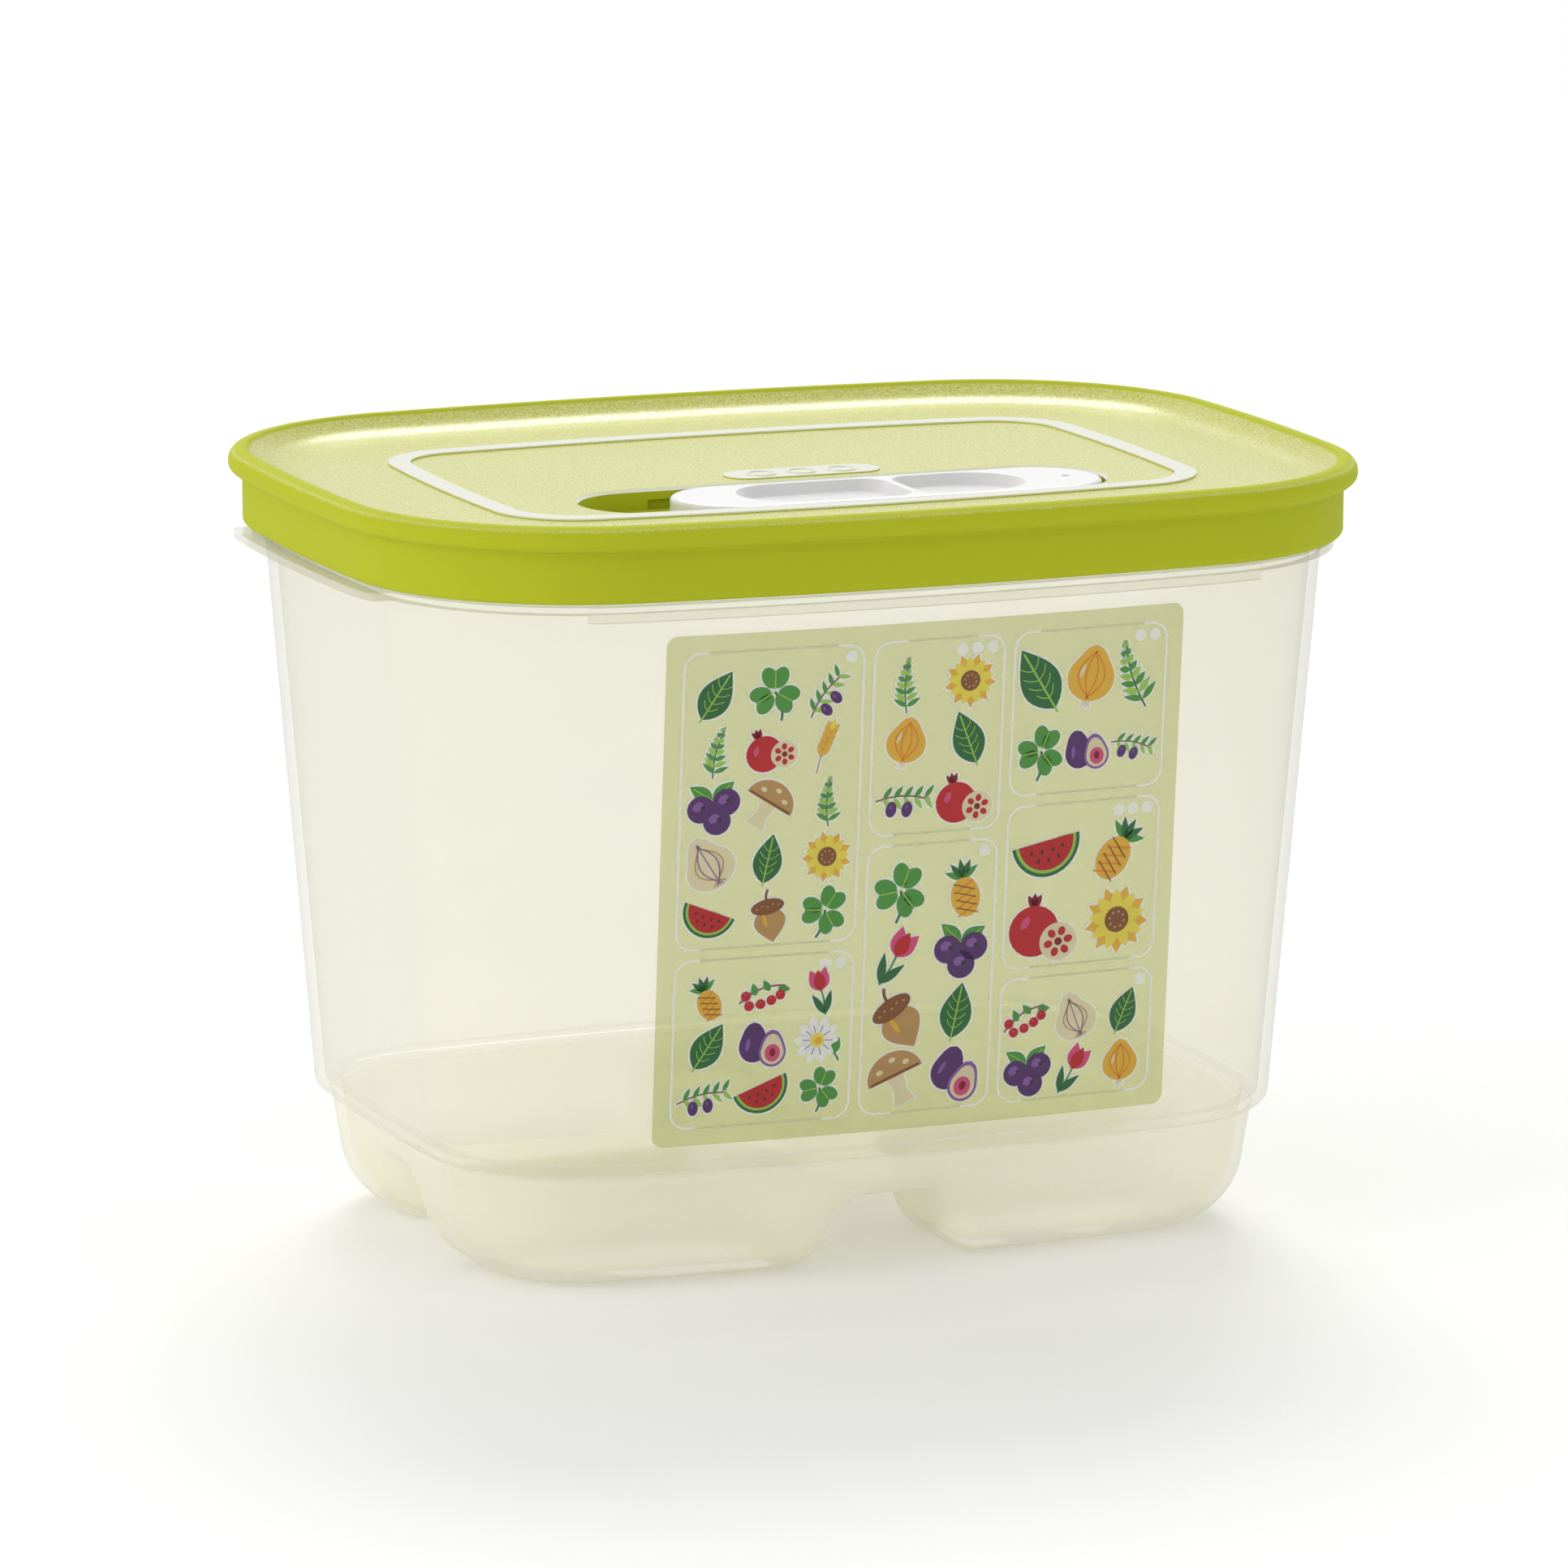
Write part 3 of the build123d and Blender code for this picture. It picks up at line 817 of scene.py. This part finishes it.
def draw_cell_frame(art, sizes, low, high, number):
    """A cell's outline and its count of dots."""
    dot, dot_pitch, most_dots = 1.1 * MM, 2.9 * MM, 3
    dot_side, dot_top = 2.6 * MM, 2.3 * MM
    outer = rounded_frame(low, high, sizes.cell_radius)
    inner = grow(outer, -sizes.line_width)
    for index in range(len(outer)):
        after = (index + 1) % len(outer)
        art.stamp("pale", [outer[index], outer[after], inner[after], inner[index]], 0)
    for step in range(1 + number % most_dots):
        art.stamp("pale", oval(high[0] - dot_side - step * dot_pitch, high[1] - dot_top, dot, dot, 0, 18), 0)


def draw_cell(art, sizes, low, high, columns, names, number):
    """One cell of the guide: its frame, and its motifs in rows, each a little off the grid."""
    margin, head = 0.9 * MM, 3.0 * MM
    drift_x, drift_z = 0.12 * MM, 0.25 * MM
    least_fill, more_fill, turn = 0.45, 0.012, 0.19
    draw_cell_frame(art, sizes, low, high, number)
    rows = math.ceil(len(names) / columns)
    width = (high[0] - low[0] - 2 * margin) / columns
    tall = (high[1] - low[1] - margin - head) / rows
    for index, name in enumerate(names):
        row, column = divmod(index, columns)
        step = number * 5 + index * 3
        x = low[0] + margin + width * (column + 0.5) + (step % 5 - 2) * drift_x
        z = high[1] - head - tall * (row + 0.5) + (step % 3 - 1) * drift_z
        fill = least_fill + more_fill * (step % 4)
        half_x, half_z = fill * width, fill * tall
        MOTIFS[name](art)
        art.fit((x - half_x, z - half_z), (x + half_x, z + half_z), (step % 7 - 3) * turn)


def print_guide(sizes, inks):
    """Prints every cell of the guide on its film, one piece for each cell."""
    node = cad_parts["storage_guide"]
    surface = BVHTree.FromPolygons(
        [tuple(vertex.co) for vertex in node.data.vertices],
        [tuple(face.vertices) for face in node.data.polygons],
    )
    low = (GUIDE_LOW.x + sizes.guide_margin, GUIDE_LOW.z + sizes.guide_margin)
    high = (GUIDE_HIGH.x - sizes.guide_margin, GUIDE_HIGH.z - sizes.guide_margin)
    gap = sizes.cell_gap / 2
    left = low[0]
    number = 0
    for share, cells in GUIDE_PLAN:
        right = left + (high[0] - low[0]) * share
        top = high[1]
        for height_share, columns, words in cells:
            bottom = top - (high[1] - low[1]) * height_share
            art = Artist(f"guide_cell_{number + 1}", surface, sizes, inks)
            cell_low, cell_high = (left + gap, bottom + gap), (right - gap, top - gap)
            draw_cell(art, sizes, cell_low, cell_high, columns, words.split(), number)
            art.finish()
            number += 1
            top = bottom
        left = right


class KEEPER_OT_tub(bpy.types.Operator):
    """Give the tub its clear walls and frosted bowl"""

    bl_idname = "keeper.tub"
    bl_label = "Tub"

    def execute(self, context):
        colours, sizes = context.scene.keeper_colours, context.scene.keeper_sizes
        clear, frosted = tuple(colours.clear), tuple(colours.frost)
        haze_clear, haze_frosted, stain = 0.13, 0.47, (0.985, 0.98, 0.955)
        plastic = clear_plastic("clear_tub_plastic", sizes, clear, frosted, haze_clear, haze_frosted, stain)
        dress("tub", plastic)
        return {"FINISHED"}


class KEEPER_OT_storage_guide(bpy.types.Operator):
    """Print the storage guide on its film"""

    bl_idname = "keeper.storage_guide"
    bl_label = "Storage guide"

    def execute(self, context):
        colours, sizes = context.scene.keeper_colours, context.scene.keeper_sizes
        tone, haze, stain = tuple(colours.film), 0.20, (0.90, 0.915, 0.77)
        dress("storage_guide", clear_plastic("guide_film_plastic", sizes, tone, tone, haze, haze, stain))
        inks = {name: ink_material(name, colour) for name, colour in INKS.items()}
        inks["pale"] = ink_material("pale", tuple(colours.outline))
        print_guide(sizes, inks)
        return {"FINISHED"}


class KEEPER_OT_lid(bpy.types.Operator):
    """Give the lid its lime plastic"""

    bl_idname = "keeper.lid"
    bl_label = "Lid"

    def execute(self, context):
        colours, sizes = context.scene.keeper_colours, context.scene.keeper_sizes
        dress("lid", lid_plastic(sizes, tuple(colours.lid), tuple(colours.painted_polish_highlight)))
        return {"FINISHED"}


class KEEPER_OT_vent_slider(bpy.types.Operator):
    """Give the vent slider and its seal their plastics"""

    bl_idname = "keeper.vent_slider"
    bl_label = "Vent slider"

    def execute(self, context):
        colours = context.scene.keeper_colours
        white = moulded_plastic("white_slider_plastic", tuple(colours.slider), 0.3, 700.0, 0.02 * MM)
        soft = moulded_plastic("soft_seal_rubber", tuple(colours.seal), 0.6, 1200.0, 0.05 * MM)
        dress("vent_slider", white)
        dress("slider_seal", soft)
        return {"FINISHED"}


def hang_lamp(lamp, position, back):
    """Hangs a lamp so that its light comes from a direction."""
    holder = bpy.data.objects.new(lamp.name, lamp)
    bpy.context.scene.collection.objects.link(holder)
    holder.location = position
    holder.rotation_euler = back.to_track_quat("Z", "Y").to_euler()
    return holder


def add_left_box():
    """A large weak soft box, low at the left, that the camera doesn't see."""
    lamp = bpy.data.lights.new("left_box", "AREA")
    lamp.shape = "RECTANGLE"
    lamp.size = 0.8
    lamp.size_y = 0.9
    lamp.energy = 5.0
    lamp.color = (1.0, 0.94, 0.82)
    position = Vector((-1.3, -0.1, 0.5))
    hang_lamp(lamp, position, position - UP * TUB_TOP / 2).visible_camera = False


def add_back_lamp(azimuth):
    """A broad far lamp behind the keeper, which throws its soft shadow forwards."""
    lamp = bpy.data.lights.new("back_lamp", "SUN")
    lamp.energy = 1.45
    lamp.angle = math.radians(28.0)
    tilt = math.radians(43.0)
    level = Vector((-math.sin(azimuth), math.cos(azimuth), 0))
    hang_lamp(lamp, Vector(), level * math.cos(tilt) + UP * math.sin(tilt))


def seen_directly(tree):
    """One for rays that show the background itself, in gloss and glass too."""
    path = place(tree, "ShaderNodeLightPath").outputs
    seen = maths(tree, "MAXIMUM", path["Is Camera Ray"], path["Is Glossy Ray"])
    return maths(tree, "MAXIMUM", seen, path["Is Transmission Ray"])


def add_floor():
    """A wide white floor that keeps the keeper's soft shadow."""
    half = 6.0
    lighting, shown, lift = (0.85, 0.85, 0.85), (0.74, 0.74, 0.74), 0.17
    corners = [(-half, -half, 0), (half, -half, 0), (half, half, 0), (-half, half, 0)]
    mesh = bpy.data.meshes.new("studio_floor")
    mesh.from_pydata(corners, [], [(0, 1, 2, 3)])
    floor = bpy.data.objects.new("studio_floor", mesh)
    bpy.context.scene.collection.objects.link(floor)
    material, tree, output = empty_material("white_floor")
    seen = seen_directly(tree)
    matt = place(tree, "ShaderNodeBsdfDiffuse", {"Color": tint(tree, seen, lighting, shown)})
    glow = place(tree, "ShaderNodeEmission", {"Strength": product(tree, seen, lift)})
    both = place(tree, "ShaderNodeAddShader")
    tree.links.new(matt.outputs[0], both.inputs[0])
    tree.links.new(glow.outputs[0], both.inputs[1])
    tree.links.new(both.outputs[0], output.inputs["Surface"])
    mesh.materials.append(material)


def add_world():
    """White where it is seen, softer where it lights, and softest from the front."""
    front, behind, shown = 0.74, 0.90, 1.0
    world = bpy.data.worlds.new("white_studio")
    bpy.context.scene.world = world
    world.use_nodes = True
    tree = world.node_tree
    tree.nodes.clear()
    output = tree.nodes.new("ShaderNodeOutputWorld")
    direction = place(tree, "ShaderNodeTexCoord").outputs["Generated"]
    depth = place(tree, "ShaderNodeSeparateXYZ", {"Vector": direction}).outputs["Y"]
    light = between(tree, ramp(tree, depth, -1.0, 1.0), front, behind)
    strength = between(tree, seen_directly(tree), light, shown)
    sky = place(tree, "ShaderNodeBackground", {"Color": (1.0, 1.0, 1.0, 1.0), "Strength": strength})
    tree.links.new(sky.outputs[0], output.inputs["Surface"])


def add_camera(view):
    """The camera at the photograph's angle."""
    level = Vector((math.sin(view.azimuth), -math.cos(view.azimuth), 0))
    back = level * math.cos(view.elevation) + UP * math.sin(view.elevation)
    right = Vector((math.cos(view.azimuth), math.sin(view.azimuth), 0))
    above = back.cross(right)
    cos, sin = math.cos(view.roll), math.sin(view.roll)
    right, above = right * cos + above * sin, above * cos - right * sin
    lens = bpy.data.cameras.new("studio_camera")
    lens.lens = view.lens
    lens.sensor_width = 36.0
    lens.shift_x = view.shift_x
    lens.clip_end = 50.0
    camera = bpy.data.objects.new("studio_camera", lens)
    bpy.context.scene.collection.objects.link(camera)
    position = UP * view.target + back * view.distance
    turned = Matrix((right, above, back)).transposed().to_4x4()
    camera.matrix_world = Matrix.Translation(position) @ turned
    bpy.context.scene.camera = camera


class KEEPER_OT_stage(bpy.types.Operator):
    """Set up the floor, the light and the camera"""

    bl_idname = "keeper.stage"
    bl_label = "Studio"

    def execute(self, context):
        add_floor()
        add_world()
        add_back_lamp(context.scene.keeper_view.azimuth)
        add_left_box()
        context.scene.view_settings.view_transform = "Standard"
        context.scene.cycles.transparent_max_bounces = 24
        add_camera(context.scene.keeper_view)
        return {"FINISHED"}


class KEEPER_PT_panel(bpy.types.Panel):
    """Lists the keeper's pieces, colours, sizes and view"""

    bl_idname = "KEEPER_PT_panel"
    bl_label = "Produce keeper"
    bl_space_type = "VIEW_3D"
    bl_region_type = "UI"
    bl_category = "Keeper"

    def draw(self, context):
        layout = self.layout
        for operator in OPERATORS:
            layout.operator(operator.bl_idname)
        for name in GROUPS:
            group = getattr(context.scene, name)
            box = layout.box()
            for setting in group.__annotations__:
                box.prop(group, setting)


OPERATORS = (KEEPER_OT_tub, KEEPER_OT_storage_guide, KEEPER_OT_lid, KEEPER_OT_vent_slider, KEEPER_OT_stage)
GROUPS = {"keeper_colours": KeeperColours, "keeper_sizes": KeeperSizes, "keeper_view": KeeperView}


def register():
    """Registers the classes and hangs the property groups on the scene."""
    for cls in (*GROUPS.values(), *OPERATORS, KEEPER_PT_panel):
        bpy.utils.register_class(cls)
    for name, group in GROUPS.items():
        setattr(bpy.types.Scene, name, bpy.props.PointerProperty(type=group))


def unregister():
    """Takes the property groups and the classes away again."""
    for name in GROUPS:
        delattr(bpy.types.Scene, name)
    for cls in (KEEPER_PT_panel, *reversed(OPERATORS), *reversed(GROUPS.values())):
        bpy.utils.unregister_class(cls)


def main():
    """Builds the whole scene."""
    register()
    bpy.ops.keeper.tub()
    bpy.ops.keeper.storage_guide()
    bpy.ops.keeper.lid()
    bpy.ops.keeper.vent_slider()
    bpy.ops.keeper.stage()


if __name__ == "__main__":
    main()
